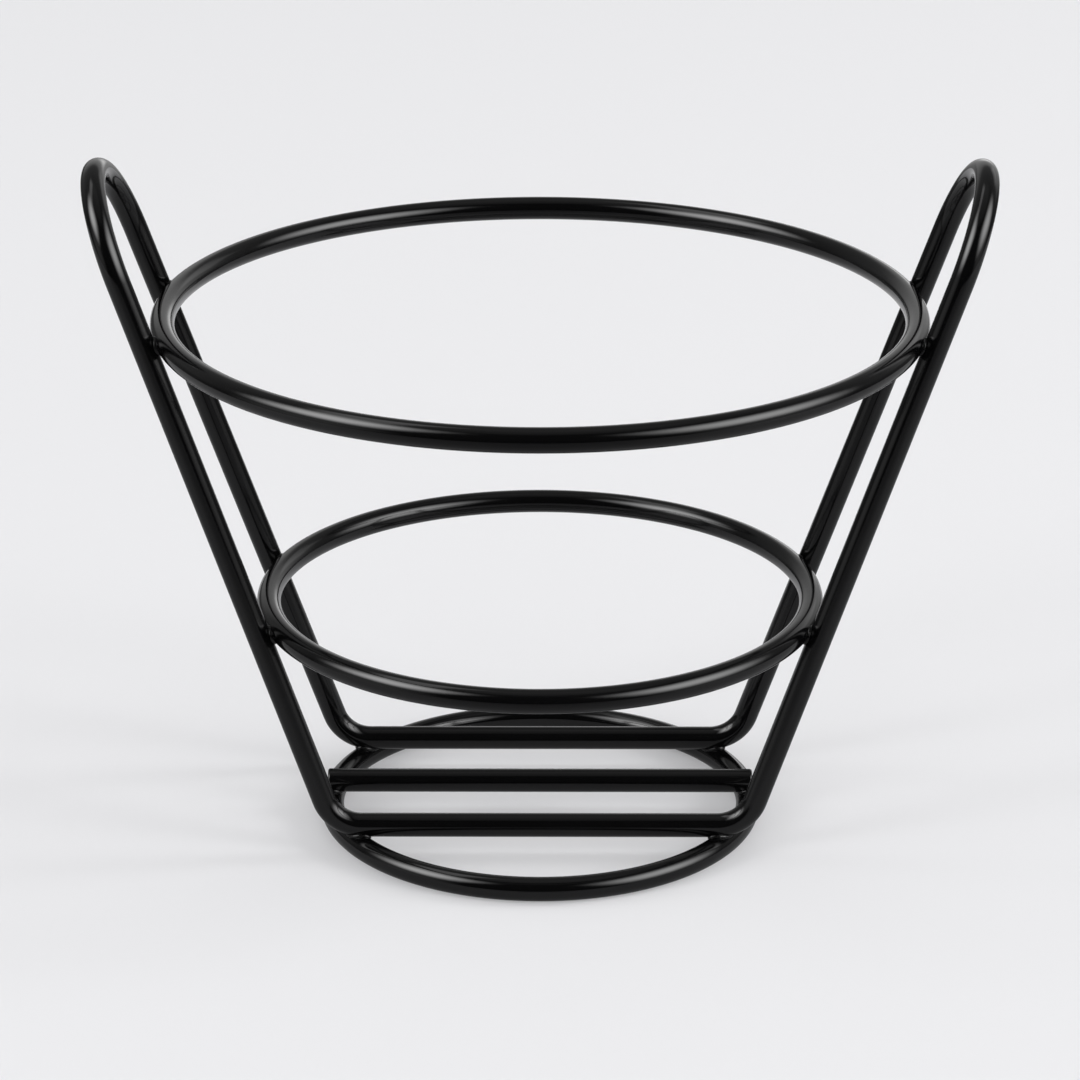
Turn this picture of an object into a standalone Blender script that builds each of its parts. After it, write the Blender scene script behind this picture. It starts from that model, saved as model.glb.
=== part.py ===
"""Wire serving basket: three round wire rings held by one looped frame wire, all resistance welded.

One long wire is bent into a flat loop with round ends and folded up: its two long sides become the
base bars and the four uprights, and its round ends become the two handles. The rings stand inside
the uprights, the base bars and a straight centre bar lie across the foot ring. Where two wires cross
they are welded: the lower or inner wire is pressed in by the set-down, and a collar of weld metal
runs round the seam. Everything is in metres, with +Z up, and the basket stands on Z = 0.
"""

import math

import bmesh
import bpy
from mathutils import Matrix, Vector

# Wire and welds
WIRE_DIAMETER = 0.0060
RING_SET_DOWN = 0.0004  # how far the uprights are pressed into the top and middle rings
FOOT_SET_DOWN = 0.0008  # how far the base bars and the centre bar are pressed into the foot ring
WELD_WIDTH = 0.0011  # reach of the weld collar past the seam between two wires
WELD_HALF_HEIGHT = 0.0016  # half of the collar's height, at its middle
CLEARANCE = 0.0003  # gap kept between separate solids

# Frame wire
BASE_BAR_SPACING = 0.0544  # between the centre lines of the two base bars
BASE_STRAIGHT_LENGTH = 0.0888  # straight run of a base bar between its two bends
CORNER_BEND_RADIUS = 0.0100  # centre line of the bend from base bar to upright
UPRIGHT_LEAN = math.radians(19.4)  # outward from vertical
HANDLE_RADIUS = 0.0228  # centre line of the round end that forms a handle
HANDLE_ABOVE_TOP_RING = 0.0142  # height of the handle's centre over the top ring

# Rings and centre bar
TOP_RING_HEIGHT = 0.1334
MIDDLE_RING_HEIGHT = 0.0592
FOOT_CROSSING_PAST_BEND = 0.0014  # the foot ring passes under the base bars just past their straight run
CENTRE_BAR_OVERHANG = 0.0010  # from the foot ring's centre line to the bar's cut end
CUT_END_ROUNDING = 0.0005

# Facets
TUBE_SIDES = 14  # twice an odd number, so that a ring has a flat strip at its top and bottom
RING_STEPS = 72
CORNER_STEPS = 7
HANDLE_STEPS = 20
END_ROUNDING_STEPS = 2
WELD_AROUND = 16
WELD_RISE = 8
CROSSING_PASSES = 12
END_EDGE_ANGLE = math.radians(60)  # only the cut ends' rims are sharper than this

# Sizes that follow
WIRE_RADIUS = WIRE_DIAMETER / 2
HALF_SPACING = BASE_BAR_SPACING / 2
HALF_STRAIGHT = BASE_STRAIGHT_LENGTH / 2
FOOT_RING_HEIGHT = WIRE_RADIUS * math.cos(math.pi / TUBE_SIDES)  # its flat strip lies on Z = 0
FOOT_RING_RADIUS = math.hypot(HALF_SPACING, HALF_STRAIGHT + FOOT_CROSSING_PAST_BEND)
BASE_HEIGHT = FOOT_RING_HEIGHT + WIRE_DIAMETER - FOOT_SET_DOWN
CENTRE_BAR_LENGTH = 2 * (FOOT_RING_RADIUS + CENTRE_BAR_OVERHANG)

# The side view square to a handle's plane: how far up that plane the handle's centre lies,
# and how much the two uprights draw together on their way there, tangent to the round end.
HANDLE_CENTRE_ALONG = (TOP_RING_HEIGHT + HANDLE_ABOVE_TOP_RING - BASE_HEIGHT) / math.cos(UPRIGHT_LEAN)
HANDLE_CENTRE_REACH = math.hypot(HANDLE_CENTRE_ALONG, HALF_SPACING)
UPRIGHT_DRAW_IN = (math.atan2(HALF_SPACING, HANDLE_CENTRE_ALONG)
                   - math.asin(HANDLE_RADIUS / HANDLE_CENTRE_REACH))
UPRIGHT_LENGTH = math.sqrt(HANDLE_CENTRE_REACH ** 2 - HANDLE_RADIUS ** 2)
CORNER_BEND_ANGLE = math.acos(math.sin(UPRIGHT_LEAN) * math.cos(UPRIGHT_DRAW_IN))
CORNER_X = HALF_STRAIGHT + CORNER_BEND_RADIUS * math.tan(CORNER_BEND_ANGLE / 2)

SIDES = {"left": -1, "right": 1}
FACES = {"front": -1, "back": 1}

COATING_COLOUR = (0.010, 0.010, 0.011, 1.0)
COATING_ROUGHNESS = 0.22
WELD_ROUGHNESS = 0.34


def clear_scene():
    """Remove whatever the file holds."""
    for old in list(bpy.data.objects):
        bpy.data.objects.remove(old, do_unlink=True)


def new_collection(name, render):
    """A collection in the scene, drawn in a render or not."""
    made = bpy.data.collections.new(name)
    made.hide_render = not render
    bpy.context.scene.collection.children.link(made)
    return made


def coating(name, roughness=COATING_ROUGHNESS):
    """Glossy black powder coat."""
    material = bpy.data.materials.new(name)
    material.use_nodes = True
    shader = material.node_tree.nodes["Principled BSDF"]
    shader.inputs["Base Color"].default_value = COATING_COLOUR
    shader.inputs["Roughness"].default_value = roughness
    shader.inputs["Metallic"].default_value = 0.0
    return material


def place(shape, collection, root, material=None):
    """Put a piece in its collection, under the basket's root, with its own finish."""
    for other in list(shape.users_collection):
        other.objects.unlink(shape)
    collection.objects.link(shape)
    shape.parent = root
    if material is not None:
        shape.data.materials.append(material)
    return shape


def place_cutter(shape, collection, root):
    """Put a cutter aside: it cuts, and isn't part of the basket."""
    shape.hide_render = True
    shape.display_type = "WIRE"
    return place(shape, collection, root)


def upright_direction(side, face):
    """Unit vector up an upright: it leans outward, and a little towards its neighbour."""
    up_plane = math.cos(UPRIGHT_DRAW_IN)
    return Vector((side * math.sin(UPRIGHT_LEAN) * up_plane,
                   -face * math.sin(UPRIGHT_DRAW_IN),
                   math.cos(UPRIGHT_LEAN) * up_plane))


def on_upright(side, face, height):
    """Point of an upright's centre line at a height."""
    direction = upright_direction(side, face)
    corner = Vector((side * CORNER_X, face * HALF_SPACING, BASE_HEIGHT))
    return corner + direction * ((height - BASE_HEIGHT) / direction.z)


def corner_and_upright(side, face):
    """Centre line from the end of a base bar's straight run, round the bend and up the upright."""
    outward = Vector((side, 0, 0))
    direction = upright_direction(side, face)
    upward = (direction - outward * direction.dot(outward)).normalized()
    bend_start = Vector((side * HALF_STRAIGHT, face * HALF_SPACING, BASE_HEIGHT))
    points = []
    for step in range(CORNER_STEPS + 1):
        turn = CORNER_BEND_ANGLE * step / CORNER_STEPS
        points.append(bend_start + CORNER_BEND_RADIUS
                      * (outward * math.sin(turn) + upward * (1 - math.cos(turn))))
    corner = Vector((side * CORNER_X, face * HALF_SPACING, BASE_HEIGHT))
    points.append(corner + direction * UPRIGHT_LENGTH)
    return points


def handle_round(side):
    """Centre line of a handle between its two uprights, from front to back, without its ends."""
    up_plane = Vector((side * math.sin(UPRIGHT_LEAN), 0, math.cos(UPRIGHT_LEAN)))
    centre = Vector((side * CORNER_X, 0, BASE_HEIGHT)) + up_plane * HANDLE_CENTRE_ALONG
    first = math.pi - UPRIGHT_DRAW_IN
    sweep = math.pi - 2 * UPRIGHT_DRAW_IN
    points = []
    for step in range(1, HANDLE_STEPS):
        turn = first - sweep * step / HANDLE_STEPS
        points.append(centre + HANDLE_RADIUS
                      * (up_plane * math.sin(turn) + Vector((0, math.cos(turn), 0))))
    return points


def frame_path():
    """Centre line of the frame wire, once round, starting at the right end of the front base bar."""
    right, left, front, back = SIDES["right"], SIDES["left"], FACES["front"], FACES["back"]
    return (corner_and_upright(right, front)
            + handle_round(right)
            + corner_and_upright(right, back)[::-1]
            + corner_and_upright(left, back)
            + handle_round(left)[::-1]
            + corner_and_upright(left, front)[::-1])


def ring_radius_inside_uprights(height):
    """Centre line radius of a level ring that bears on all four uprights from inside.

    Seen along the rim, an upright rises with the slope of its distance from the axis. The ring's
    centre lies one wire diameter, less the set-down, square off that slope.
    """
    point = on_upright(1, 1, height)
    direction = upright_direction(1, 1)
    reach = math.hypot(point.x, point.y)
    slope = (point.x * direction.x + point.y * direction.y) / (reach * direction.z)
    return reach - (WIRE_DIAMETER - RING_SET_DOWN) * math.hypot(1, slope)


def wire_loop(name, path, radius):
    """A closed round wire along a path of points."""
    curve = bpy.data.curves.new(name, "CURVE")
    curve.dimensions = "3D"
    curve.bevel_depth = radius
    curve.bevel_resolution = (TUBE_SIDES - 4) // 2
    spline = curve.splines.new("POLY")
    spline.points.add(len(path) - 1)
    for control, point in zip(spline.points, path):
        control.co = (*point, 1)
    spline.use_cyclic_u = True
    spline.use_smooth = True
    return bpy.data.objects.new(name, curve)


def as_mesh(curve_object):
    """The same shape as a mesh of triangles, which a Boolean can use. The curve object goes."""
    bpy.context.scene.collection.objects.link(curve_object)
    bpy.context.view_layer.update()
    evaluated = curve_object.evaluated_get(bpy.context.evaluated_depsgraph_get())
    mesh = bpy.data.meshes.new_from_object(evaluated)
    facets = bmesh.new()
    facets.from_mesh(mesh)
    bmesh.ops.triangulate(facets, faces=facets.faces)
    facets.to_mesh(mesh)
    facets.free()
    made = bpy.data.objects.new(curve_object.name, mesh)
    made.matrix_world = curve_object.matrix_world.copy()
    bpy.data.objects.remove(curve_object)
    return made


def wire_ring(name, ring_radius, height, wire_radius):
    """A level ring of round wire."""
    bpy.ops.mesh.primitive_torus_add(
        major_segments=RING_STEPS, minor_segments=TUBE_SIDES,
        major_radius=ring_radius, minor_radius=wire_radius, location=(0, 0, height))
    ring = bpy.context.object
    ring.name = name
    ring.data.shade_smooth()
    return ring


def straight_bar(name, length, radius):
    """A straight wire along X over the foot ring."""
    bpy.ops.mesh.primitive_cylinder_add(
        vertices=TUBE_SIDES, radius=radius, depth=length,
        location=(0, 0, BASE_HEIGHT), rotation=(0, math.pi / 2, 0))
    bar = bpy.context.object
    bar.name = name
    bar.data.shade_smooth()
    return bar


def cut_with(shape, cutter):
    """Take the cutter's space out of a piece."""
    cut = shape.modifiers.new("clear of " + cutter.name, "BOOLEAN")
    cut.operation = "DIFFERENCE"
    cut.solver = "EXACT"
    cut.object = cutter


def nearest_on_path(path, point):
    """The place on a closed path of straight steps nearest to a point, and the path's direction."""
    nearest, heading = None, None
    for start, end in zip(path, path[1:] + path[:1]):
        run = end - start
        share = min(max((point - start).dot(run) / run.length_squared, 0), 1)
        on_run = start + run * share
        if nearest is None or (on_run - point).length < (nearest - point).length:
            nearest, heading = on_run, run.normalized()
    return nearest, heading


def nearest_on_ring(ring_radius, height, point):
    """The place on a level ring's centre line nearest to a point, and the ring's direction there."""
    out = Vector((point.x, point.y, 0)).normalized()
    return out * ring_radius + Vector((0, 0, height)), Vector((-out.y, out.x, 0))


def crossing(path, ring_radius, height, start):
    """Where a wire and a ring pass closest, by stepping from one to the other."""
    on_wire = start
    for _ in range(CROSSING_PASSES):
        on_ring, ring_heading = nearest_on_ring(ring_radius, height, on_wire)
        on_wire, wire_heading = nearest_on_path(path, on_ring)
    return on_wire, wire_heading, on_ring, ring_heading


def weld_collar(name, meeting, cutters):
    """Weld metal round the seam of two crossing wires, clear of both by the usual gap.

    The seam is where the two wires, each grown by the clearance, cut each other: a closed line round
    the crossing, longer along the sharp angle between the wires. The collar starts as a flat ball
    that reaches past it on all sides, and the two grown wires are then cut out of it.
    """
    on_wire, wire_heading, on_ring, ring_heading = meeting
    apart = on_wire - on_ring
    normal = apart.normalized()
    if wire_heading.dot(ring_heading) < 0:
        ring_heading = -ring_heading
    half_angle = wire_heading.angle(ring_heading) / 2
    along = wire_heading + ring_heading
    along = (along - normal * along.dot(normal)).normalized()
    across = normal.cross(along)
    grown = WIRE_RADIUS + CLEARANCE
    seam = math.sqrt(grown ** 2 - (apart.length / 2) ** 2)
    half_sizes = (seam / math.sin(half_angle) + WELD_WIDTH,
                  seam / math.cos(half_angle) + WELD_WIDTH,
                  WELD_HALF_HEIGHT)
    ball = bmesh.new()
    bmesh.ops.create_uvsphere(ball, u_segments=WELD_AROUND, v_segments=WELD_RISE, radius=1,
                              matrix=Matrix.Diagonal((*half_sizes, 1)))
    mesh = bpy.data.meshes.new(name)
    ball.to_mesh(mesh)
    ball.free()
    mesh.shade_smooth()
    collar = bpy.data.objects.new(name, mesh)
    turn = Matrix((along, across, normal)).transposed().to_4x4()
    collar.matrix_world = Matrix.Translation((on_wire + on_ring) / 2) @ turn
    for cutter in cutters:
        cut_with(collar, cutter)
    return collar


def build():
    """Make the whole basket."""
    clear_scene()
    pieces = new_collection("wire_basket", render=True)
    cutters = new_collection("wire_basket_cutters", render=False)
    root = bpy.data.objects.new("wire_basket_root", None)
    pieces.objects.link(root)

    path = frame_path()
    grown_radius = WIRE_RADIUS + CLEARANCE
    rings = {
        "top_ring": (ring_radius_inside_uprights(TOP_RING_HEIGHT), TOP_RING_HEIGHT),
        "middle_ring": (ring_radius_inside_uprights(MIDDLE_RING_HEIGHT), MIDDLE_RING_HEIGHT),
        "foot_ring": (FOOT_RING_RADIUS, FOOT_RING_HEIGHT),
    }

    # The wires that stay whole, and the room that each keeps
    place(wire_loop("frame_wire", path, WIRE_RADIUS), pieces, root, coating("frame_wire_coating"))
    centre_bar = straight_bar("centre_bar", CENTRE_BAR_LENGTH, WIRE_RADIUS)
    rounding = centre_bar.modifiers.new("rounded cut ends", "BEVEL")
    rounding.width = CUT_END_ROUNDING
    rounding.segments = END_ROUNDING_STEPS
    rounding.limit_method = "ANGLE"
    rounding.angle_limit = END_EDGE_ANGLE
    place(centre_bar, pieces, root, coating("centre_bar_coating"))
    frame_room = as_mesh(wire_loop("frame_wire_room", path, grown_radius))
    place_cutter(frame_room, cutters, root)
    bar_room = straight_bar("centre_bar_room", CENTRE_BAR_LENGTH + 2 * CLEARANCE, grown_radius)
    place_cutter(bar_room, cutters, root)

    # The rings, with a seat pressed in wherever another wire crosses
    ring_rooms = {}
    for name, (ring_radius, height) in rings.items():
        ring = place(wire_ring(name, ring_radius, height, WIRE_RADIUS), pieces, root,
                     coating(name + "_coating"))
        cut_with(ring, frame_room)
        if name == "foot_ring":
            cut_with(ring, bar_room)
        ring_rooms[name] = place_cutter(
            wire_ring(name + "_room", ring_radius, height, grown_radius), cutters, root)

    # The welds: each ring at the four frame crossings, and the foot ring at the bar's two ends
    for ring_name, (ring_radius, height) in rings.items():
        for face_name, face in FACES.items():
            for side_name, side in SIDES.items():
                name = f"weld_{ring_name}_{face_name}_{side_name}"
                start = on_upright(side, face, max(height, BASE_HEIGHT))
                meeting = crossing(path, ring_radius, height, start)
                place(weld_collar(name, meeting, (frame_room, ring_rooms[ring_name])),
                      pieces, root, coating(name + "_coating", WELD_ROUGHNESS))
    for side_name, side in SIDES.items():
        name = f"weld_centre_bar_{side_name}"
        over_ring = Vector((side * FOOT_RING_RADIUS, 0, BASE_HEIGHT))
        on_ring, ring_heading = nearest_on_ring(FOOT_RING_RADIUS, FOOT_RING_HEIGHT, over_ring)
        meeting = (over_ring, Vector((1, 0, 0)), on_ring, ring_heading)
        place(weld_collar(name, meeting, (bar_room, ring_rooms["foot_ring"])),
              pieces, root, coating(name + "_coating", WELD_ROUGHNESS))


build()
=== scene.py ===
"""Looks of the wire serving basket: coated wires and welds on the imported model, in a studio.

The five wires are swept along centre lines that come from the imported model's boxes, and the
fourteen welds along the seams where two wires cross. Lengths are in metres, +Z is up and the
front is at -Y.
"""

import logging
import math
from collections.abc import Sequence
from dataclasses import dataclass, field
from enum import Enum
from itertools import product
from typing import Any, Protocol

import bpy
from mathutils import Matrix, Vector


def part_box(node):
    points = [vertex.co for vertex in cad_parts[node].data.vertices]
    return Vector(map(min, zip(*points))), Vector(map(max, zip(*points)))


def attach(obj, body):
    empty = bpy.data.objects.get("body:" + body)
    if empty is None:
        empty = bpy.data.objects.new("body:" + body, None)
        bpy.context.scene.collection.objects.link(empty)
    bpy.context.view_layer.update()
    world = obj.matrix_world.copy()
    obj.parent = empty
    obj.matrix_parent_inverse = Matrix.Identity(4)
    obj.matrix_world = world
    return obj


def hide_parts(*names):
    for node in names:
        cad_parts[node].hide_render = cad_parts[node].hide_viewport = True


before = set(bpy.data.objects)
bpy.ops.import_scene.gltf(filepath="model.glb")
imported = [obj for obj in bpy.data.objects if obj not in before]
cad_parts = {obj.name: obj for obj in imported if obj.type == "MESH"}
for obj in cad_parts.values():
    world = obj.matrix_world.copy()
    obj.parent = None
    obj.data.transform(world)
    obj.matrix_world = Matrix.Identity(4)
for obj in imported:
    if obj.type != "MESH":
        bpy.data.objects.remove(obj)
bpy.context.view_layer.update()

BODY = "root"
OPAQUE = 1.0
log = logging.getLogger("wire_basket")

Colour = tuple[float, float, float]
Socket = bpy.types.NodeSocket
Value = Socket | float


class Side(Enum):
    """Left or right of the basket, as the sign of X."""

    LEFT = -1
    RIGHT = 1


class Face(Enum):
    """Front or back of the basket, as the sign of Y."""

    FRONT = -1
    BACK = 1


class Ring(Enum):
    """The three rings, by their names in the model."""

    TOP = "top_ring"
    MIDDLE = "middle_ring"
    FOOT = "foot_ring"


class Slot(Enum):
    """The names of the two material slots."""

    WIRE = "wire_coating"
    WELD = "weld_coating"


class Reach(Enum):
    """What a lamp of the studio shows on."""

    GLOSS = "what mirrors it"
    MATT = "what it lights and shades"


class Tree(Enum):
    """What a node tree makes, by Blender's name for its kind."""

    SHAPE = "GeometryNodeTree"
    SURFACE = "ShaderNodeTree"


class Plug(Enum):
    """What a group's input or output carries, by Blender's name for it."""

    SHAPE = "NodeSocketGeometry"
    NUMBER = "NodeSocketFloat"
    COUNT = "NodeSocketInt"
    COAT = "NodeSocketMaterial"


class Sum(Enum):
    """The sums of the node trees, by Blender's names for them."""

    ADD = "ADD"
    SUBTRACT = "SUBTRACT"
    MULTIPLY = "MULTIPLY"
    DIVIDE = "DIVIDE"
    LARGER = "MAXIMUM"
    SIZE = "ABSOLUTE"


@dataclass(frozen=True)
class Fade:
    """A level that changes over a range of a value and holds beyond it."""

    start: float
    end: float
    at_start: float = 0.0
    at_end: float = 1.0
    smooth: bool = False


class NodeSheet:
    """A node tree while it is being built: makes and links nodes, and keeps its inputs by name."""

    def __init__(self, tree: bpy.types.NodeTree) -> None:
        """Start on a tree."""
        self.tree = tree
        self.identifiers: dict[str, str] = {}

    @classmethod
    def group(cls, name: str, kind: Tree) -> "NodeSheet":
        """A sheet on a new node group."""
        return cls(bpy.data.node_groups.new(name, kind.value))

    def add_inputs(self, inputs: dict[str, Plug]) -> None:
        """Give the group its named inputs.

        Args:
            inputs: What each input carries, by the input's name.
        """
        for name, kind in inputs.items():
            made = self.tree.interface.new_socket(name, in_out="INPUT", socket_type=kind.value)
            self.identifiers[name] = made.identifier

    def add_outputs(self, *names: str, kind: Plug) -> None:
        """Give the group its named outputs, all of one kind."""
        for name in names:
            self.tree.interface.new_socket(name, in_out="OUTPUT", socket_type=kind.value)

    def node(self, kind: str, **values: Any) -> bpy.types.Node:
        """A new node with its properties set.

        Args:
            kind: The node's type.
            **values: Its properties, by attribute name.

        Returns:
            The node.
        """
        made = self.tree.nodes.new(kind)
        for name, value in values.items():
            setattr(made, name, value)
        return made

    def link(self, source: Socket, target: Socket) -> None:
        """Join an output to an input."""
        self.tree.links.new(source, target)

    def feed(self, target: Socket, source: Value) -> None:
        """Give an input either a link or a plain value.

        Args:
            target: The input.
            source: The output that it reads, or the number that it holds.
        """
        if isinstance(source, Socket):
            self.link(source, target)
        else:
            target.default_value = source

    def sum(self, kind: Sum, first: Value, second: Value = 0.0) -> Socket:
        """A sum on two values.

        Args:
            kind: Which sum.
            first: An output or a number.
            second: An output or a number, where the sum takes two.

        Returns:
            The result's output.
        """
        made = self.node("ShaderNodeMath", operation=kind.value)
        self.feed(made.inputs[0], first)
        self.feed(made.inputs[1], second)
        return made.outputs[0]

    def plus(self, first: Value, second: Value) -> Socket:
        """Two values together."""
        return self.sum(Sum.ADD, first, second)

    def minus(self, first: Value, second: Value) -> Socket:
        """A value less another."""
        return self.sum(Sum.SUBTRACT, first, second)

    def times(self, first: Value, second: Value) -> Socket:
        """Two values multiplied."""
        return self.sum(Sum.MULTIPLY, first, second)

    def ramp(self, value: Value, start: Value, end: Value, at_start: float = 0.0,
             at_end: float = 1.0, smooth: bool = False) -> Socket:
        """A level that changes over a range of a value and holds beyond it.

        Args:
            value: An output or a number.
            start: Where the range starts.
            end: Where it ends.
            at_start: The level up to the start.
            at_end: The level from the end on.
            smooth: Whether the change eases in and out.

        Returns:
            The level's output.
        """
        shape = "SMOOTHSTEP" if smooth else "LINEAR"
        made = self.node("ShaderNodeMapRange", interpolation_type=shape)
        for socket, number in zip(made.inputs, (value, start, end, at_start, at_end)):
            self.feed(socket, number)
        return made.outputs["Result"]

    def fade(self, value: Socket, fade: Fade) -> Socket:
        """The level that a fade gives for a value."""
        return self.ramp(value, fade.start, fade.end, fade.at_start, fade.at_end, fade.smooth)

    def between(self, value: Socket, low: float, high: float, edge: float) -> Socket:
        """Pick out a range of a value.

        Args:
            value: The value's output.
            low: Where the range starts.
            high: Where it ends.
            edge: How far each end fades, both ways.

        Returns:
            The output that is 1 within the range and 0 beyond it.
        """
        return self.times(self.ramp(value, low - edge, low + edge, smooth=True),
                          self.ramp(value, high - edge, high + edge, 1.0, 0.0, smooth=True))

    def noise(self, size: Socket, detail: float, links: dict[str, Socket],
              **values: Any) -> Socket:
        """Noise with features of a size.

        Args:
            size: The output that gives the size.
            detail: How many finer layers it has.
            links: What its other inputs read, by their names.
            **values: Its properties, by attribute name.

        Returns:
            The noise's output.
        """
        made = self.node("ShaderNodeTexNoise", **values)
        made.inputs["Detail"].default_value = detail
        self.link(self.sum(Sum.DIVIDE, 1.0, size), made.inputs["Scale"])
        for name, source in links.items():
            self.link(source, made.inputs[name])
        return made.outputs["Fac"]


def shape_of(curve: bpy.types.Object, sheet: NodeSheet,
             values: dict[str, Any]) -> bpy.types.Object:
    """Run a shape's tree on a curve and keep the result as a plain mesh.

    Args:
        curve: The object that holds the line. It is used up.
        sheet: The tree and its inputs.
        values: The inputs' values, by name.

    Returns:
        A mesh object of the same name at the origin, in the scene.
    """
    name = curve.name
    curve.name = name + "_line"
    bpy.context.scene.collection.objects.link(curve)
    swept = curve.modifiers.new("shape", "NODES")
    swept.node_group = sheet.tree
    for key, value in values.items():
        swept[sheet.identifiers[key]] = value
    curve.update_tag()
    bpy.context.view_layer.update()
    finished = curve.evaluated_get(bpy.context.evaluated_depsgraph_get())
    mesh = bpy.data.meshes.new_from_object(finished)
    mesh.name = name
    line = curve.data
    bpy.data.objects.remove(curve)
    bpy.data.curves.remove(line)
    piece = bpy.data.objects.new(name, mesh)
    bpy.context.scene.collection.objects.link(piece)
    return piece


def line_object(name: str, points: Sequence[Vector], closed: bool,
                scales: Sequence[float] | None = None) -> bpy.types.Object:
    """A curve through points.

    Args:
        name: The object's name.
        points: The line's points.
        closed: Whether it joins up.
        scales: The section's scale at each point, or None for 1 everywhere.

    Returns:
        A curve object, not yet in the scene.
    """
    curve = bpy.data.curves.new(name, "CURVE")
    curve.dimensions = "3D"
    spline = curve.splines.new("POLY")
    spline.points.add(len(points) - 1)
    for index, point in enumerate(points):
        spline.points[index].co = (*point, 1.0)
        spline.points[index].radius = scales[index] if scales else 1.0
    spline.use_cyclic_u = closed
    return bpy.data.objects.new(name, curve)


def round_section(sheet: NodeSheet, sides: Socket, radius: Socket) -> Socket:
    """The round section of a sweep.

    Args:
        sheet: The tree.
        sides: The output that gives its number of sides.
        radius: The output that gives its radius.

    Returns:
        The section's output.
    """
    section = sheet.node("GeometryNodeCurvePrimitiveCircle")
    sheet.link(sides, section.inputs["Resolution"])
    sheet.link(radius, section.inputs["Radius"])
    return section.outputs["Curve"]


def finish_tree(sheet: NodeSheet, shape: Socket, coat: Socket) -> None:
    """End a shape's tree: smooth faces, no instances, and the coat.

    Args:
        sheet: The tree.
        shape: Its shape so far.
        coat: The output that gives the coat.
    """
    smooth = sheet.node("GeometryNodeSetShadeSmooth")
    sheet.link(shape, smooth.inputs["Geometry"])
    real = sheet.node("GeometryNodeRealizeInstances")
    sheet.link(smooth.outputs["Geometry"], real.inputs["Geometry"])
    coated = sheet.node("GeometryNodeSetMaterial")
    sheet.link(real.outputs["Geometry"], coated.inputs["Geometry"])
    sheet.link(coat, coated.inputs["Material"])
    sheet.link(coated.outputs["Geometry"], sheet.node("NodeGroupOutput").inputs[0])


def wire_tree() -> NodeSheet:
    """The tree that sweeps a round section along a line.

    Returns:
        Its sheet.
    """
    sheet = NodeSheet.group("swept wire", Tree.SHAPE)
    sheet.add_inputs({"Line": Plug.SHAPE, "Wire Radius": Plug.NUMBER, "Section Sides": Plug.COUNT,
                      "Coat": Plug.COAT})
    sheet.add_outputs("Wire", kind=Plug.SHAPE)
    given = sheet.node("NodeGroupInput").outputs
    sweep = sheet.node("GeometryNodeCurveToMesh")
    sweep.inputs["Fill Caps"].default_value = True
    sheet.link(given["Line"], sweep.inputs["Curve"])
    sheet.link(round_section(sheet, given["Section Sides"], given["Wire Radius"]),
               sweep.inputs["Profile Curve"])
    sheet.link(sheet.node("GeometryNodeInputRadius").outputs[0], sweep.inputs["Scale"])
    finish_tree(sheet, sweep.outputs["Mesh"], given["Coat"])
    return sheet


def bead_tree() -> NodeSheet:
    """The tree that runs a lumpy bead along a seam.

    The bead swells and thins in long waves, and short lumps stand out of its surface.

    Returns:
        Its sheet.
    """
    lumps_to_a_wave = 3.0
    detail = 1.0
    sheet = NodeSheet.group("weld bead", Tree.SHAPE)
    sheet.add_inputs({"Seam": Plug.SHAPE, "Bead Radius": Plug.NUMBER, "Section Sides": Plug.COUNT,
                      "Swell": Plug.NUMBER, "Lump Height": Plug.NUMBER, "Lump Size": Plug.NUMBER,
                      "Seed": Plug.NUMBER, "Coat": Plug.COAT})
    sheet.add_outputs("Bead", kind=Plug.SHAPE)
    given = sheet.node("NodeGroupInput").outputs
    wave_size = sheet.times(given["Lump Size"], lumps_to_a_wave)
    waves, lumps = (
        sheet.noise(size, detail, {"W": given["Seed"]}, noise_dimensions="4D", normalize=False)
        for size in (wave_size, given["Lump Size"]))
    sweep = sheet.node("GeometryNodeCurveToMesh")
    sheet.link(given["Seam"], sweep.inputs["Curve"])
    sheet.link(round_section(sheet, given["Section Sides"], given["Bead Radius"]),
               sweep.inputs["Profile Curve"])
    sheet.link(sheet.plus(1.0, sheet.times(waves, given["Swell"])), sweep.inputs["Scale"])
    outward = sheet.node("ShaderNodeVectorMath", operation="SCALE")
    sheet.link(sheet.node("GeometryNodeInputNormal").outputs["Normal"], outward.inputs[0])
    sheet.link(sheet.times(lumps, given["Lump Height"]), outward.inputs["Scale"])
    move = sheet.node("GeometryNodeSetPosition")
    sheet.link(sweep.outputs["Mesh"], move.inputs["Geometry"])
    sheet.link(outward.outputs[0], move.inputs["Offset"])
    finish_tree(sheet, move.outputs["Geometry"], given["Coat"])
    return sheet


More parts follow.
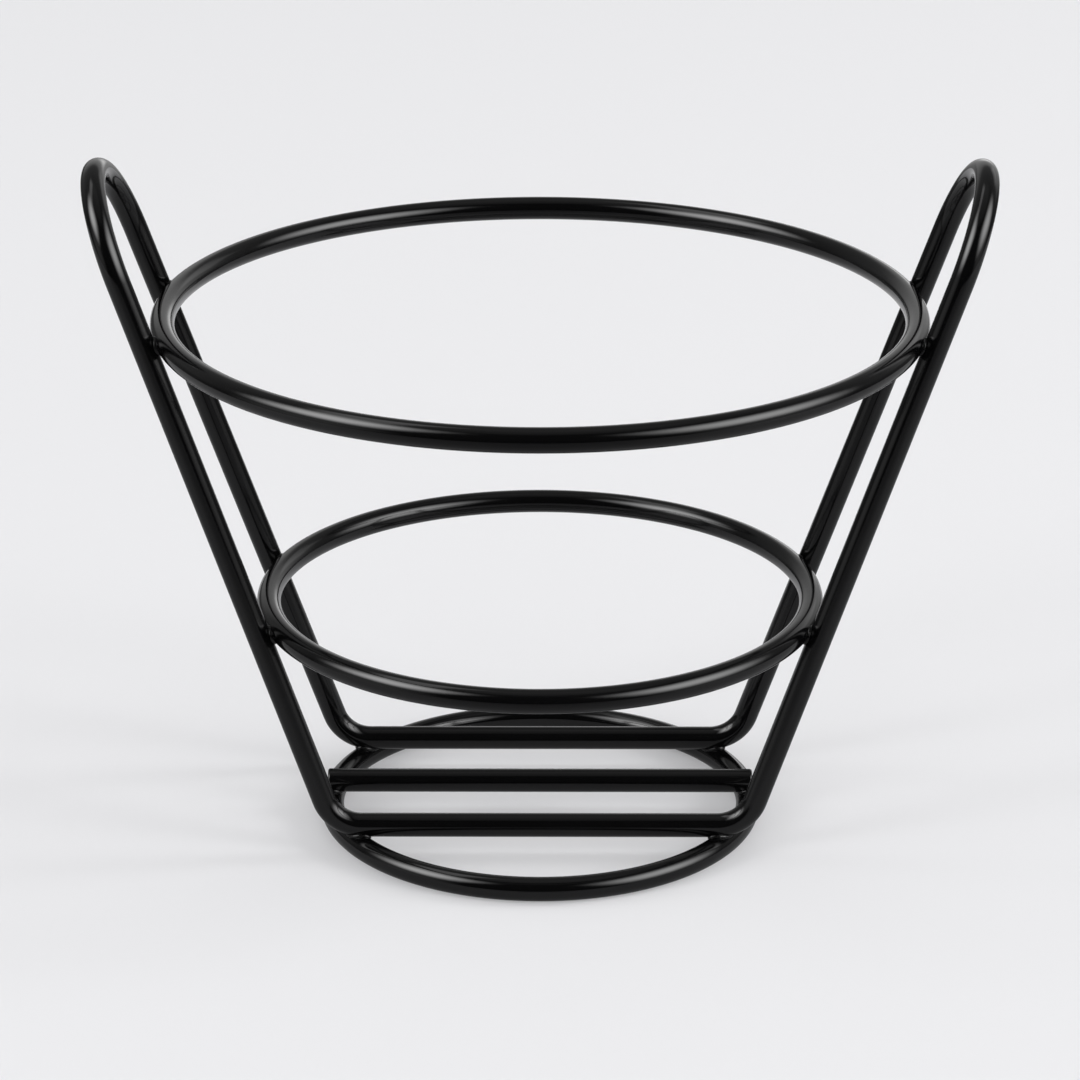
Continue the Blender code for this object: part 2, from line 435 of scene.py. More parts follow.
def coat_group() -> bpy.types.NodeTree:
    """The shared surface of the powder coat, as masks and heights over the surface.

    The coat flows out to long shallow waves, the peel, with a finer grain on top, and varies a
    little in tone and in gloss from patch to patch.

    Returns:
        The group.
    """
    finer_layers = {"Peel Size": 2.0, "Grain Size": 1.0, "Patch Size": 3.0}
    patches_in_tone, grain_in_tone = 0.7, 0.3
    patches_in_gloss, peel_in_gloss = 0.5, 0.5
    sheet = NodeSheet.group("powder coat surface", Tree.SURFACE)
    sheet.add_inputs({"Peel Size": Plug.NUMBER, "Grain Size": Plug.NUMBER,
                      "Grain Share": Plug.NUMBER, "Patch Size": Plug.NUMBER})
    sheet.add_outputs("Tone", "Gloss", "Height", kind=Plug.NUMBER)
    given = sheet.node("NodeGroupInput").outputs
    place = sheet.node("ShaderNodeTexCoord").outputs["Object"]
    peel, grain, patches = (sheet.noise(given[size], detail, {"Vector": place})
                            for size, detail in finer_layers.items())
    results = {
        "Tone": sheet.plus(sheet.times(patches, patches_in_tone),
                           sheet.times(grain, grain_in_tone)),
        "Gloss": sheet.plus(sheet.times(patches, patches_in_gloss),
                            sheet.times(peel, peel_in_gloss)),
        "Height": sheet.plus(peel, sheet.times(grain, given["Grain Share"])),
    }
    out = sheet.node("NodeGroupOutput")
    for name, result in results.items():
        sheet.link(result, out.inputs[name])
    return sheet.tree


@dataclass(frozen=True)
class PowderCoat:
    """A glossy black powder coat, by how its surface comes out of the oven."""

    name: str
    dark: Colour = (0.0006, 0.0006, 0.0007)
    light: Colour = (0.0022, 0.0022, 0.0024)
    roughness: tuple[float, float] = (0.08, 0.14)
    gloss_range: tuple[float, float] = (0.3, 0.7)
    peel_size: float = 0.0026
    peel_height: float = 0.000008
    grain_size: float = 0.00035
    grain_share: float = 0.06
    patch_size: float = 0.022

    def material(self, surface: bpy.types.NodeTree) -> bpy.types.Material:
        """The coat as a material.

        Args:
            surface: The shared group that gives tone, gloss and height.

        Returns:
            The material.
        """
        made = bpy.data.materials.new(self.name)
        made.use_nodes = True
        sheet = NodeSheet(made.node_tree)
        shader = made.node_tree.nodes["Principled BSDF"].inputs
        coat = sheet.node("ShaderNodeGroup", node_tree=surface)
        sizes = {"Peel Size": self.peel_size, "Grain Size": self.grain_size,
                 "Grain Share": self.grain_share, "Patch Size": self.patch_size}
        for name, value in sizes.items():
            coat.inputs[name].default_value = value
        tone = sheet.node("ShaderNodeMix", data_type="RGBA")
        blend = {socket.identifier: socket for socket in (*tone.inputs, *tone.outputs)}
        sheet.link(coat.outputs["Tone"], blend["Factor_Float"])
        blend["A_Color"].default_value = (*self.dark, OPAQUE)
        blend["B_Color"].default_value = (*self.light, OPAQUE)
        sheet.link(blend["Result_Color"], shader["Base Color"])
        sheet.link(sheet.ramp(coat.outputs["Gloss"], *self.gloss_range, *self.roughness),
                   shader["Roughness"])
        bump = sheet.node("ShaderNodeBump")
        bump.inputs["Distance"].default_value = self.peel_height
        sheet.link(coat.outputs["Height"], bump.inputs["Height"])
        sheet.link(bump.outputs["Normal"], shader["Normal"])
        return made


class CentreLine(Protocol):
    """A wire's centre line, as the welds need it."""

    def nearest(self, point: Vector) -> Vector:
        """The place on it nearest to a point."""


@dataclass(kw_only=True)
class Wire:
    """A round wire of the basket, which stands for one node of the model."""

    node: str
    radius: float
    coat: bpy.types.Material
    tree: NodeSheet
    sides: int = 40

    def line(self) -> bpy.types.Object:
        """The wire's centre line as a curve object."""
        raise NotImplementedError

    def build(self) -> bpy.types.Object:
        """Sweep the wire, and set it in the model.

        Returns:
            The finished piece.
        """
        values = {"Wire Radius": self.radius, "Section Sides": self.sides, "Coat": self.coat}
        piece = shape_of(self.line(), self.tree, values)
        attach(piece, BODY)
        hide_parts(self.node)
        log.info("%s: %d faces", piece.name, len(piece.data.polygons))
        return piece


@dataclass(kw_only=True)
class RingWire(Wire):
    """A level round ring."""

    ring_radius: float
    height: float
    steps: int = 288

    def nearest(self, point: Vector) -> Vector:
        """The place on the ring nearest to a point."""
        out = Vector((point.x, point.y, 0.0)).normalized()
        return out * self.ring_radius + Vector((0.0, 0.0, self.height))

    def line(self) -> bpy.types.Object:
        """The ring's centre line.

        Returns:
            A curve object.
        """
        turns = [math.tau * step / self.steps for step in range(self.steps)]
        points = [Vector((math.cos(turn) * self.ring_radius, math.sin(turn) * self.ring_radius,
                          self.height)) for turn in turns]
        return line_object(self.node + "_wire", points, closed=True)


@dataclass(kw_only=True)
class FrameWire(Wire):
    """The one long wire: two base bars, four uprights and the two round handle ends.

    The sizes that the model's boxes don't show are restated here, and checked against its box.
    """

    half_spacing: float
    base_height: float
    top_ring_height: float
    half_straight: float = 0.0444
    bend_radius: float = 0.0100
    lean: float = math.radians(19.4)
    handle_radius: float = 0.0228
    handle_above_top_ring: float = 0.0142
    bend_steps: int = 28
    handle_steps: int = 72
    run_step: float = 0.004
    box_tolerance: float = 0.0005
    centre_along: float = field(init=False)
    draw_in: float = field(init=False)
    upright_length: float = field(init=False)
    bend_angle: float = field(init=False)
    corner_x: float = field(init=False)
    path: list[Vector] = field(init=False)

    def __post_init__(self) -> None:
        """Work out the bends from the driving sizes, and then the path."""
        rise = self.top_ring_height + self.handle_above_top_ring - self.base_height
        self.centre_along = rise / math.cos(self.lean)
        reach = math.hypot(self.centre_along, self.half_spacing)
        self.draw_in = (math.atan2(self.half_spacing, self.centre_along)
                        - math.asin(self.handle_radius / reach))
        self.upright_length = math.sqrt(reach ** 2 - self.handle_radius ** 2)
        self.bend_angle = math.acos(math.sin(self.lean) * math.cos(self.draw_in))
        self.corner_x = self.half_straight + self.bend_radius * math.tan(self.bend_angle / 2)
        self.path = self.closed_path()

    def on_base(self, side: Side, face: Face, along: float) -> Vector:
        """The point of a base bar's line at a distance from the middle."""
        return Vector((side.value * along, face.value * self.half_spacing, self.base_height))

    def upright_direction(self, side: Side, face: Face) -> Vector:
        """The way up an upright.

        Args:
            side: The upright's side.
            face: Its face.

        Returns:
            A unit vector.
        """
        up_plane = math.cos(self.draw_in)
        return Vector((side.value * math.sin(self.lean) * up_plane,
                       -face.value * math.sin(self.draw_in),
                       math.cos(self.lean) * up_plane))

    def on_upright(self, side: Side, face: Face, height: float) -> Vector:
        """The point of an upright's centre line at a height.

        Args:
            side: The upright's side.
            face: Its face.
            height: The height above the table.

        Returns:
            The point.
        """
        direction = self.upright_direction(side, face)
        corner = self.on_base(side, face, self.corner_x)
        return corner + direction * ((height - self.base_height) / direction.z)

    def run(self, start: Vector, end: Vector) -> list[Vector]:
        """Points along a straight run, without its ends."""
        steps = max(1, round((end - start).length / self.run_step))
        return [start.lerp(end, step / steps) for step in range(1, steps)]

    def corner_and_upright(self, side: Side, face: Face) -> list[Vector]:
        """Centre line from the end of a base bar, round the bend and up the upright.

        Args:
            side: The upright's side.
            face: Its face.

        Returns:
            Its points, up to where the handle's round starts.
        """
        outward = Vector((side.value, 0.0, 0.0))
        direction = self.upright_direction(side, face)
        upward = (direction - outward * direction.dot(outward)).normalized()
        start = self.on_base(side, face, self.half_straight)
        points = []
        for step in range(self.bend_steps + 1):
            turn = self.bend_angle * step / self.bend_steps
            points.append(start + self.bend_radius
                          * (outward * math.sin(turn) + upward * (1 - math.cos(turn))))
        top = self.on_base(side, face, self.corner_x) + direction * self.upright_length
        return points + self.run(points[-1], top) + [top]

    def handle_round(self, side: Side) -> list[Vector]:
        """Centre line of a handle between its two uprights, from front to back.

        Args:
            side: The handle's side.

        Returns:
            Its points, without the ends.
        """
        up_plane = Vector((side.value * math.sin(self.lean), 0.0, math.cos(self.lean)))
        foot = Vector((side.value * self.corner_x, 0.0, self.base_height))
        centre = foot + up_plane * self.centre_along
        sweep = math.pi - 2 * self.draw_in
        points = []
        for step in range(1, self.handle_steps):
            turn = math.pi - self.draw_in - sweep * step / self.handle_steps
            points.append(centre + self.handle_radius
                          * (up_plane * math.sin(turn) + Vector((0.0, math.cos(turn), 0.0))))
        return points

    def closed_path(self) -> list[Vector]:
        """The whole centre line, once round from the right end of the front base bar.

        Returns:
            Its points.
        """
        front_right = self.corner_and_upright(Side.RIGHT, Face.FRONT)
        back_right = self.corner_and_upright(Side.RIGHT, Face.BACK)[::-1]
        back_left = self.corner_and_upright(Side.LEFT, Face.BACK)
        front_left = self.corner_and_upright(Side.LEFT, Face.FRONT)[::-1]
        return (front_right + self.handle_round(Side.RIGHT) + back_right
                + self.run(back_right[-1], back_left[0])
                + back_left + self.handle_round(Side.LEFT)[::-1] + front_left
                + self.run(front_left[-1], front_right[0]))

    def nearest(self, point: Vector) -> Vector:
        """The place on the path nearest to a point.

        Args:
            point: The point.

        Returns:
            The place.
        """
        found = self.path[0]
        for start, end in zip(self.path, self.path[1:] + self.path[:1]):
            step = end - start
            share = min(max((point - start).dot(step) / step.length_squared, 0.0), 1.0)
            there = start + step * share
            if (there - point).length_squared < (found - point).length_squared:
                found = there
        return found

    def line(self) -> bpy.types.Object:
        """The path, after a check that it fills the model's box.

        Returns:
            A curve object.

        Raises:
            ValueError: If the restated sizes don't meet the model's box.
        """
        _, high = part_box(self.node)
        reach = max(point.x for point in self.path) + self.radius
        if abs(reach - high.x) > self.box_tolerance:
            raise ValueError(f"{self.node}'s restated sizes give {reach:.5f}, "
                             f"and the model has {high.x:.5f}")
        return line_object(self.node + "_coated", self.path, closed=True)


@dataclass(kw_only=True)
class CentreBar(Wire):
    """The straight bar with its two cut ends."""

    half_length: float
    height: float
    end_rounding: float = 0.0005
    rounding_steps: int = 6
    run_step: float = 0.004

    def nearest(self, point: Vector) -> Vector:
        """The place on the bar's line nearest to a point."""
        return Vector((point.x, 0.0, self.height))

    def line(self) -> bpy.types.Object:
        """The bar's line, drawn in at its rounded ends.

        Returns:
            A curve object.
        """
        ends = []
        for step in range(self.rounding_steps + 1):
            turn = math.pi / 2 * step / self.rounding_steps
            inset = self.end_rounding * (1 - math.sin(turn))
            ends.append((self.half_length - inset,
                         1 - self.end_rounding * (1 - math.cos(turn)) / self.radius))
        straight = self.half_length - self.end_rounding
        steps = round(2 * straight / self.run_step)
        along = [(-x, scale) for x, scale in ends[::-1]]
        along += [(-straight + 2 * straight * step / steps, 1.0) for step in range(1, steps)]
        along += ends
        points = [Vector((x, 0.0, self.height)) for x, _ in along]
        scales = [scale for _, scale in along]
        return line_object(self.node + "_coated", points, closed=False, scales=scales)


@dataclass(kw_only=True)
class WeldBead:
    """The bead of weld metal round the seam where one wire crosses another."""

    node: str
    first: CentreLine
    second: CentreLine
    start: Vector
    wire_radius: float
    coat: bpy.types.Material
    tree: NodeSheet
    seed: float
    proud: float = 0.00008
    bead_radius: float = 0.00065
    swell: float = 0.18
    lump_height: float = 0.00006
    lump_size: float = 0.0012
    seam_steps: int = 96
    sides: int = 24
    passes: int = 12
    nudge: float = 1e-6

    def crossing(self) -> tuple[Vector, Vector]:
        """The closest places of the two centre lines.

        Returns:
            The place on the first line and the one on the second.
        """
        on_first = self.start
        for _ in range(self.passes):
            on_second = self.second.nearest(on_first)
            on_first = self.first.nearest(on_second)
        return on_first, on_second

    def gaps(self, point: Vector) -> tuple[float, float]:
        """How far a point lies off the seam's distance from each of the two centre lines.

        Args:
            point: The point.

        Returns:
            The first line's and the second's.
        """
        wanted = self.wire_radius + self.proud
        return ((point - self.first.nearest(point)).length - wanted,
                (point - self.second.nearest(point)).length - wanted)

    def step_to_seam(self, middle: Vector, heading: Vector, normal: Vector, reach: float,
                     rise: float) -> tuple[float, float]:
        """One step of a point towards the seam, from how both gaps change with a nudge.

        Args:
            middle: The middle of the crossing.
            heading: The way out from it, square to the normal.
            normal: The way from the second wire to the first.
            reach: How far the point lies out that way.
            rise: How far it lies along the normal.

        Returns:
            The better reach and rise.
        """
        here = middle + heading * reach + normal * rise
        first, second = self.gaps(here)
        out = self.gaps(here + heading * self.nudge)
        up = self.gaps(here + normal * self.nudge)
        first_out, first_up = (out[0] - first) / self.nudge, (up[0] - first) / self.nudge
        second_out, second_up = (out[1] - second) / self.nudge, (up[1] - second) / self.nudge
        spread = first_out * second_up - first_up * second_out
        return (reach - (second_up * first - first_up * second) / spread,
                rise - (first_out * second - second_out * first) / spread)

    def seam(self) -> list[Vector]:
        """The closed line that keeps the same small distance over both wires.

        Returns:
            Its points, once round the crossing.
        """
        on_first, on_second = self.crossing()
        middle = (on_first + on_second) / 2
        apart = on_first - on_second
        normal = apart.normalized()
        along = normal.cross(Vector((0.0, 1.0, 0.0))).normalized()
        across = normal.cross(along)
        reach = math.sqrt((self.wire_radius + self.proud) ** 2 - (apart.length / 2) ** 2)
        rise = 0.0
        points = []
        for step in range(self.seam_steps):
            turn = math.tau * step / self.seam_steps
            heading = along * math.cos(turn) + across * math.sin(turn)
            for _ in range(self.passes):
                reach, rise = self.step_to_seam(middle, heading, normal, reach, rise)
            points.append(middle + heading * reach + normal * rise)
        return points

    def build(self) -> bpy.types.Object:
        """Run the bead along the seam, and set it in the model.

        Returns:
            The finished piece.
        """
        values = {"Bead Radius": self.bead_radius, "Section Sides": self.sides,
                  "Swell": self.swell, "Lump Height": self.lump_height,
                  "Lump Size": self.lump_size, "Seed": self.seed, "Coat": self.coat}
        bead = line_object(self.node + "_bead", self.seam(), closed=True)
        piece = shape_of(bead, self.tree, values)
        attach(piece, BODY)
        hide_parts(self.node)
        log.info("%s: %d faces", piece.name, len(piece.data.polygons))
        return piece


@dataclass
class Basket:
    """The whole basket: the wires and the welds that join them."""

    wire_radius: float
    coat: bpy.types.Material
    weld_coat: bpy.types.Material
    seed_step: float = 3.7
    rings: dict[Ring, RingWire] = field(init=False, default_factory=dict)
    bar: CentreBar = field(init=False)
    frame_wire: FrameWire = field(init=False)

    def make_wires(self) -> None:
        """Make the five wires at the places that the model gives."""
        common = {"radius": self.wire_radius, "coat": self.coat, "tree": wire_tree()}
        for ring in Ring:
            low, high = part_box(ring.value)
            self.rings[ring] = RingWire(node=ring.value, ring_radius=high.x - self.wire_radius,
                                        height=(low.z + high.z) / 2, **common)
        bar_low, bar_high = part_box("centre_bar")
        base_height = (bar_low.z + bar_high.z) / 2
        self.bar = CentreBar(node="centre_bar", half_length=bar_high.x, height=base_height,
                             **common)
        self.frame_wire = FrameWire(
            node="frame_wire", half_spacing=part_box("frame_wire")[1].y - self.wire_radius,
            base_height=base_height, top_ring_height=self.rings[Ring.TOP].height, **common)
        for wire in (*self.rings.values(), self.frame_wire, self.bar):
            wire.build()

    def make_welds(self) -> None:
        """Make the fourteen welds, each with a seed of its own."""
        tree = bead_tree()
        crossings = []
        for ring, wire in self.rings.items():
            for face, side in product(Face, Side):
                name = f"weld_{ring.value}_{face.name.lower()}_{side.name.lower()}"
                start = self.frame_wire.on_upright(side, face, max(wire.height, self.bar.height))
                crossings.append((name, self.frame_wire, wire, start))
        foot_ring = self.rings[Ring.FOOT]
        for side in Side:
            start = Vector((side.value * foot_ring.ring_radius, 0.0, self.bar.height))
            crossings.append((f"weld_centre_bar_{side.name.lower()}", self.bar, foot_ring, start))
        for number, (name, first, second, start) in enumerate(crossings):
            WeldBead(node=name, first=first, second=second, start=start,
                     wire_radius=self.wire_radius, coat=self.weld_coat, tree=tree,
                     seed=self.seed_step * number).build()


def direction_to(azimuth: float, elevation: float) -> Vector:
    """Unit vector to a place in the studio.

    Args:
        azimuth: Degrees round from the camera's side, to the right.
        elevation: Degrees above level.

    Returns:
        The vector, away from the basket.
    """
    turn, rise = math.radians(azimuth), math.radians(elevation)
    return Vector((math.sin(turn) * math.cos(rise), -math.cos(turn) * math.cos(rise),
                   math.sin(rise)))


def seen_directly(sheet: NodeSheet) -> Socket:
    """Tell what is looked at from what gives light.

    Args:
        sheet: The material's tree.

    Returns:
        1 for what the camera sees itself, in gloss or through glass, and 0 for what gives light.
    """
    path = sheet.node("ShaderNodeLightPath").outputs
    return sheet.sum(Sum.LARGER, path["Is Camera Ray"],
                     sheet.sum(Sum.LARGER, path["Is Glossy Ray"], path["Is Transmission Ray"]))


@dataclass(frozen=True)
class SoftBox:
    """A lamp with soft borders, given by the patch of the studio that it fills, in degrees."""

    name: str
    azimuth: float
    elevation: float
    width: float
    height: float
    brightness: float
    feather: float = 0.5
    reach: Reach = Reach.GLOSS
    distance: float = 4.0

    def across(self, angle: float) -> float:
        """The length at the lamp's distance that an angle spans."""
        return 2 * self.distance * math.tan(math.radians(angle / 2))

    def build(self, target: Vector) -> None:
        """Make the lamp, facing the basket.

        Args:
            target: The point that it faces.
        """
        lamp = bpy.data.lights.new(self.name, "AREA")
        lamp.shape = "RECTANGLE"
        lamp.size = self.across(self.width)
        lamp.size_y = self.across(self.height)
        lamp.energy = math.pi * lamp.size * lamp.size_y * self.brightness
        lamp.use_nodes = True
        self.feather_borders(lamp)
        holder = bpy.data.objects.new(self.name, lamp)
        way = direction_to(self.azimuth, self.elevation)
        holder.location = target + way * self.distance
        holder.rotation_euler = way.to_track_quat("Z", "Y").to_euler()
        holder.visible_camera = False
        holder.visible_diffuse = self.reach is Reach.MATT
        holder.visible_glossy = self.reach is Reach.GLOSS
        bpy.context.scene.collection.objects.link(holder)

    def feather_borders(self, lamp: bpy.types.Light) -> None:
        """Let the lamp fade out towards its borders.

        Args:
            lamp: The lamp, whose own place runs from 0 to 1 both ways across it.
        """
        middle = 0.5
        sheet = NodeSheet(lamp.node_tree)
        place = sheet.node("ShaderNodeSeparateXYZ")
        sheet.link(sheet.node("ShaderNodeNewGeometry").outputs["Parametric"], place.inputs[0])
        border = Fade(middle - self.feather, middle, at_start=1.0, at_end=0.0, smooth=True)
        fades = [sheet.fade(sheet.sum(Sum.SIZE, sheet.minus(place.outputs[axis], middle)), border)
                 for axis in ("X", "Y")]
        sheet.link(sheet.times(*fades), lamp.node_tree.nodes["Emission"].inputs["Strength"])


@dataclass(frozen=True)
class PaperFloor:
    """The pale round floor, which fades out at its rim."""

    height: float
    radius: float = 1.7
    fade: float = 0.8
    rim_steps: int = 128
    colour: Colour = (0.50, 0.50, 0.51)
    roughness: float = 0.9
    lift: float = 0.248
    lift_colour: Colour = (1.0, 1.0, 1.02)

    def build(self) -> None:
        """Lay the floor under the basket."""
        turns = [math.tau * step / self.rim_steps for step in range(self.rim_steps)]
        rim = [Vector((math.cos(turn), math.sin(turn), 0.0)) * self.radius for turn in turns]
        mesh = bpy.data.meshes.new("studio_floor")
        mesh.from_pydata([(p.x, p.y, self.height) for p in rim], [], [range(len(rim))])
        floor = bpy.data.objects.new("studio_floor", mesh)
        bpy.context.scene.collection.objects.link(floor)
        mesh.materials.append(self.paper())

    def paper(self) -> bpy.types.Material:
        """Matt paper, whose pale tone is partly given to what is looked at alone.

        Returns:
            The material.
        """
        paper = bpy.data.materials.new("studio_paper")
        paper.use_nodes = True
        sheet = NodeSheet(paper.node_tree)
        shader = paper.node_tree.nodes["Principled BSDF"].inputs
        shader["Base Color"].default_value = (*self.colour, OPAQUE)
        shader["Roughness"].default_value = self.roughness
        shader["Specular IOR Level"].default_value = 0.0
        out = sheet.node("ShaderNodeVectorMath", operation="LENGTH")
        sheet.link(sheet.node("ShaderNodeTexCoord").outputs["Object"], out.inputs[0])
        rim = Fade(self.radius - self.fade, self.radius, at_start=1.0, at_end=0.0, smooth=True)
        sheet.link(sheet.fade(out.outputs["Value"], rim), shader["Alpha"])
        sheet.link(sheet.times(seen_directly(sheet), self.lift), shader["Emission Strength"])
        shader["Emission Color"].default_value = (*self.lift_colour, OPAQUE)
        return paper


@dataclass(frozen=True)
class Room:
    """The even light of the room, and the pale backdrop that is seen beyond the floor."""

    light: float = 0.70
    backdrop: Colour = (0.79, 0.79, 0.81)

    def build(self) -> None:
        """Set up the room as the scene's world."""
        world = bpy.data.worlds.new("studio")
        bpy.context.scene.world = world
        world.use_nodes = True
        sheet = NodeSheet(world.node_tree)
        dim = world.node_tree.nodes["Background"]
        dim.inputs["Color"].default_value = (1.0, 1.0, 1.0, OPAQUE)
        dim.inputs["Strength"].default_value = self.light
        pale = sheet.node("ShaderNodeBackground")
        pale.inputs["Color"].default_value = (*self.backdrop, OPAQUE)
        mix = sheet.node("ShaderNodeMixShader")
        sheet.link(seen_directly(sheet), mix.inputs[0])
        sheet.link(dim.outputs[0], mix.inputs[1])
        sheet.link(pale.outputs[0], mix.inputs[2])
        sheet.link(mix.outputs[0], world.node_tree.nodes["World Output"].inputs["Surface"])


@dataclass(frozen=True)
class ClothPlace:
    """Where a spot of the dark cloth lies, as outputs of its material's tree.

    back, up and aside are the spot's shares of its way from the basket, from -1 to 1.
    """

    distance: Socket
    back: Socket
    up: Socket
    aside: Socket


@dataclass(frozen=True)
class DarkCloth:
    """Dark cloth round the set and on the table's front and sides, which only the gloss shows.

    It is the unlit room that the real coat mirrors. On the table it is a partly clear sheet of
    painted shade, which dims the pale paper as the coat mirrors it and lets part of it through, up
    to its hem.
    Its fades run over a spot's shares back and up.
    """

    floor_height: float
    radius: float = 6.0
    segments: int = 64
    bands: int = 32
    clearance: float = 0.0005
    softening: float = 0.06
    room_to_back: Fade = Fade(-0.3, 0.6, 0.03, 0.19, smooth=True)
    room_above_table: Fade = Fade(0.02, 0.22, 0.5, 1.0)
    ceiling: Fade = Fade(0.85, 0.97, 0.0, 0.15, smooth=True)
    glow_back: float = 0.98
    glow_aside: float = 0.20
    glow_border: Fade = Fade(0.02, 0.12, 0.84, 0.62)
    glow_middle: float = 0.96
    glow_level: float = 0.42
    glow_heights: tuple[float, float] = (-0.22, 0.45)
    spill_aside: float = 0.93
    spill_forward: float = 0.37
    spill: Fade = Fade(0.85, 0.98, 0.0, 0.40)
    spill_heights: tuple[float, float] = (-0.15, 0.28)
    height_edge: float = 0.08
    # painted shade on the table as the coat mirrors it: how much of the paper is hidden, front to
    # back
    mirrored_table_shade_in_front: Fade = Fade(-0.85, -0.5, 0.80, 0.57)
    mirrored_table_shade_behind: Fade = Fade(0.62, 0.85, 0.0, 0.32)
    hem_towards_back: Fade = Fade(0.42, 0.62, 0.75, 0.45)
    hem_behind: Fade = Fade(0.78, 0.87, 0.0, 0.3)
    hem_width: float = 0.2

    def build(self) -> None:
        """Hang the cloth as a tent, whose lower half lies flat on the table."""
        bpy.ops.mesh.primitive_uv_sphere_add(segments=self.segments, ring_count=self.bands,
                                             radius=self.radius)
        cloth = bpy.context.object
        cloth.name = "studio_dark_cloth"
        for vertex in cloth.data.vertices:
            vertex.co.z = max(vertex.co.z, self.floor_height + self.clearance)
        cloth.visible_camera = False
        cloth.visible_diffuse = False
        cloth.visible_shadow = False
        cloth.visible_transmission = False
        cloth.data.materials.append(self.material())

    def material(self) -> bpy.types.Material:
        """The cloth as a material that glows faintly where the room is less dark.

        Returns:
            The material.
        """
        material = bpy.data.materials.new("studio_dark_cloth")
        material.use_nodes = True
        sheet = NodeSheet(material.node_tree)
        material.node_tree.nodes.clear()
        place = self.place(sheet)
        glow = sheet.node("ShaderNodeEmission")
        sheet.link(self.level(sheet, place), glow.inputs["Strength"])
        mix = sheet.node("ShaderNodeMixShader")
        sheet.link(self.cover(sheet, place), mix.inputs[0])
        sheet.link(sheet.node("ShaderNodeBsdfTransparent").outputs[0], mix.inputs[1])
        sheet.link(glow.outputs[0], mix.inputs[2])
        sheet.link(mix.outputs[0], sheet.node("ShaderNodeOutputMaterial").inputs["Surface"])
        return material

    def place(self, sheet: NodeSheet) -> ClothPlace:
        """Where a spot of the cloth lies.

        Args:
            sheet: The material's tree.

        Returns:
            The place. Its shares are softened close to the basket.
        """
        spot = sheet.node("ShaderNodeTexCoord").outputs["Object"]
        length = sheet.node("ShaderNodeVectorMath", operation="LENGTH")
        sheet.link(spot, length.inputs[0])
        distance = length.outputs["Value"]
        parts = sheet.node("ShaderNodeSeparateXYZ")
        sheet.link(spot, parts.inputs[0])
        softened = sheet.plus(distance, self.softening)
        aside, back, up = (sheet.sum(Sum.DIVIDE, parts.outputs[axis], softened)
                           for axis in ("X", "Y", "Z"))
        return ClothPlace(distance, back, up, aside)

    def level(self, sheet: NodeSheet, place: ClothPlace) -> Socket:
        """How brightly the room shows at a spot.

        Args:
            sheet: The material's tree.
            place: The spot.

        Returns:
            The output with the room, the ceiling, the glow low behind and the lamps' spill.
        """
        room = sheet.times(sheet.fade(place.back, self.room_to_back),
                           sheet.fade(place.up, self.room_above_table))
        overhead = sheet.fade(place.up, self.ceiling)
        to_glow = sheet.plus(sheet.times(place.back, self.glow_back),
                             sheet.times(place.aside, self.glow_aside))
        glow = sheet.ramp(to_glow, sheet.fade(place.up, self.glow_border), self.glow_middle,
                          at_end=self.glow_level)
        low_behind = sheet.times(
            glow, sheet.between(place.up, *self.glow_heights, self.height_edge))
        to_lamps = sheet.minus(sheet.times(sheet.sum(Sum.SIZE, place.aside), self.spill_aside),
                               sheet.times(place.back, self.spill_forward))
        spill = sheet.times(sheet.fade(to_lamps, self.spill),
                            sheet.between(place.up, *self.spill_heights, self.height_edge))
        return sheet.plus(sheet.plus(room, overhead), sheet.plus(low_behind, spill))

    def cover(self, sheet: NodeSheet, place: ClothPlace) -> Socket:
        """How much of what lies behind the cloth it hides.

        Args:
            sheet: The material's tree.
            place: The spot.

        Returns:
            The output, which is part on the table, as painted shade over the mirrored paper, and 1
            beyond its hem.
        """
        # painted shade: the sheet dims the pale paper as the coat mirrors it
        mirrored_table_shade = sheet.minus(sheet.fade(place.back, self.mirrored_table_shade_in_front),
                            sheet.fade(place.back, self.mirrored_table_shade_behind))
        hem = sheet.plus(sheet.fade(place.back, self.hem_towards_back),
                         sheet.fade(place.back, self.hem_behind))
        full = sheet.ramp(place.distance, hem, sheet.plus(hem, self.hem_width), smooth=True)
        return sheet.sum(Sum.LARGER, mirrored_table_shade, full)


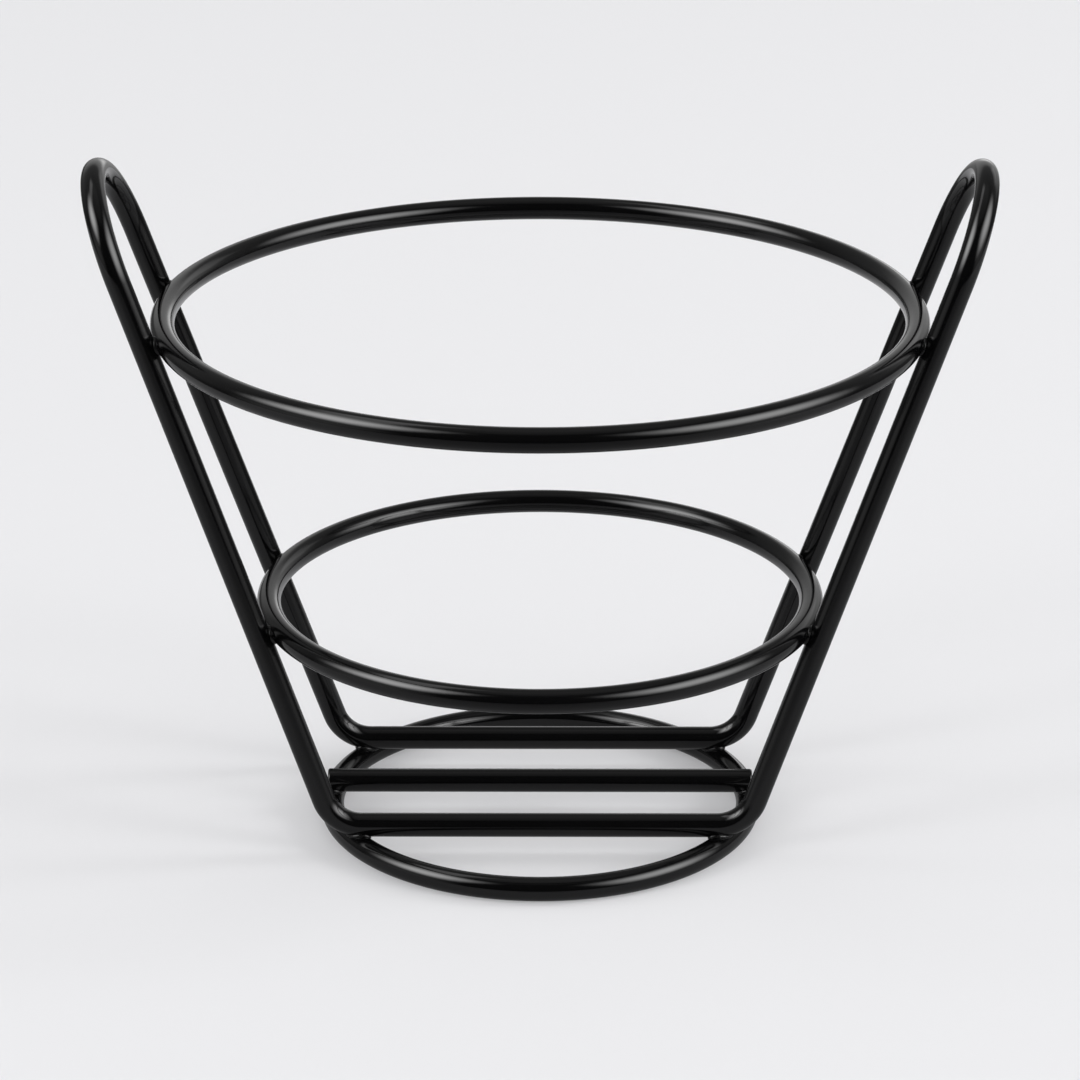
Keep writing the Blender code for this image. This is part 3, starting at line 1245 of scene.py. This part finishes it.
@dataclass(frozen=True)
class Studio:
    """A pale table in a dark room.

    The soft boxes and the faint glows behind the basket show in the coat's gloss alone. The table
    has four lamps of its own, two low ones in front and two in line with the base bars.
    """

    floor_height: float
    target_height: float = 0.09
    lamps: tuple[SoftBox, ...] = (
        SoftBox("left_soft_box", azimuth=-71, elevation=40.5, width=61, height=57,
                brightness=7.2, feather=0.46),
        SoftBox("right_soft_box", azimuth=68, elevation=32, width=76, height=60,
                brightness=5.9, feather=0.46),
        SoftBox("upper_left_glow", azimuth=-122, elevation=64, width=44, height=20,
                brightness=1.05, feather=0.25),
        SoftBox("back_right_glow", azimuth=143, elevation=24, width=34, height=24,
                brightness=0.35, feather=0.25),
        SoftBox("low_back_patch", azimuth=171, elevation=5, width=30, height=18, brightness=1.1),
        SoftBox("left_table_lamp", azimuth=-60, elevation=17, width=26, height=34,
                brightness=21.0, reach=Reach.MATT),
        SoftBox("right_table_lamp", azimuth=67, elevation=17, width=26, height=34,
                brightness=24.0, reach=Reach.MATT),
        SoftBox("left_side_lamp", azimuth=-98, elevation=24, width=24, height=30,
                brightness=8.0, reach=Reach.MATT),
        SoftBox("right_side_lamp", azimuth=98, elevation=24, width=24, height=30,
                brightness=22.0, reach=Reach.MATT),
    )

    def build(self) -> None:
        """Set up the floor, the room, the cloth and the lamps."""
        PaperFloor(self.floor_height).build()
        Room().build()
        DarkCloth(self.floor_height).build()
        for lamp in self.lamps:
            lamp.build(Vector((0.0, 0.0, self.target_height)))
        bpy.context.scene.view_settings.view_transform = "Standard"


@dataclass(frozen=True)
class PhotoCamera:
    """The camera at the photograph's place, found from the wires' outlines."""

    focal_pixels: float = 4157.0
    frame_pixels: float = 1080.0
    sensor_width: float = 36.0
    distance: float = 0.9735
    height: float = 0.4462
    pitch: float = math.radians(20.92)
    heading: float = math.radians(0.204)

    def build(self) -> None:
        """Make the camera and look through it."""
        lens = bpy.data.cameras.new("photo_camera")
        lens.sensor_width = self.sensor_width
        lens.lens = self.focal_pixels / self.frame_pixels * lens.sensor_width
        camera = bpy.data.objects.new("photo_camera", lens)
        camera.location = (self.distance * math.sin(self.heading),
                           -self.distance * math.cos(self.heading), self.height)
        camera.rotation_euler = (math.pi / 2 - self.pitch, 0.0, self.heading)
        bpy.context.scene.collection.objects.link(camera)
        bpy.context.scene.camera = camera


def main() -> None:
    """Build the basket and its studio."""
    logging.basicConfig(level=logging.INFO, format="%(name)s: %(message)s")
    PhotoCamera().build()
    surface = coat_group()
    wire_coat = PowderCoat("black_powder_coat").material(surface)
    weld_coat = PowderCoat("black_weld_coat", roughness=(0.22, 0.34),
                           peel_size=0.0012).material(surface)
    wire_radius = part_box("centre_bar")[1].y
    basket = Basket(wire_radius, wire_coat, weld_coat)
    basket.make_wires()
    basket.make_welds()
    Studio(floor_height=basket.rings[Ring.FOOT].height - wire_radius).build()


if __name__ == "__main__":
    main()
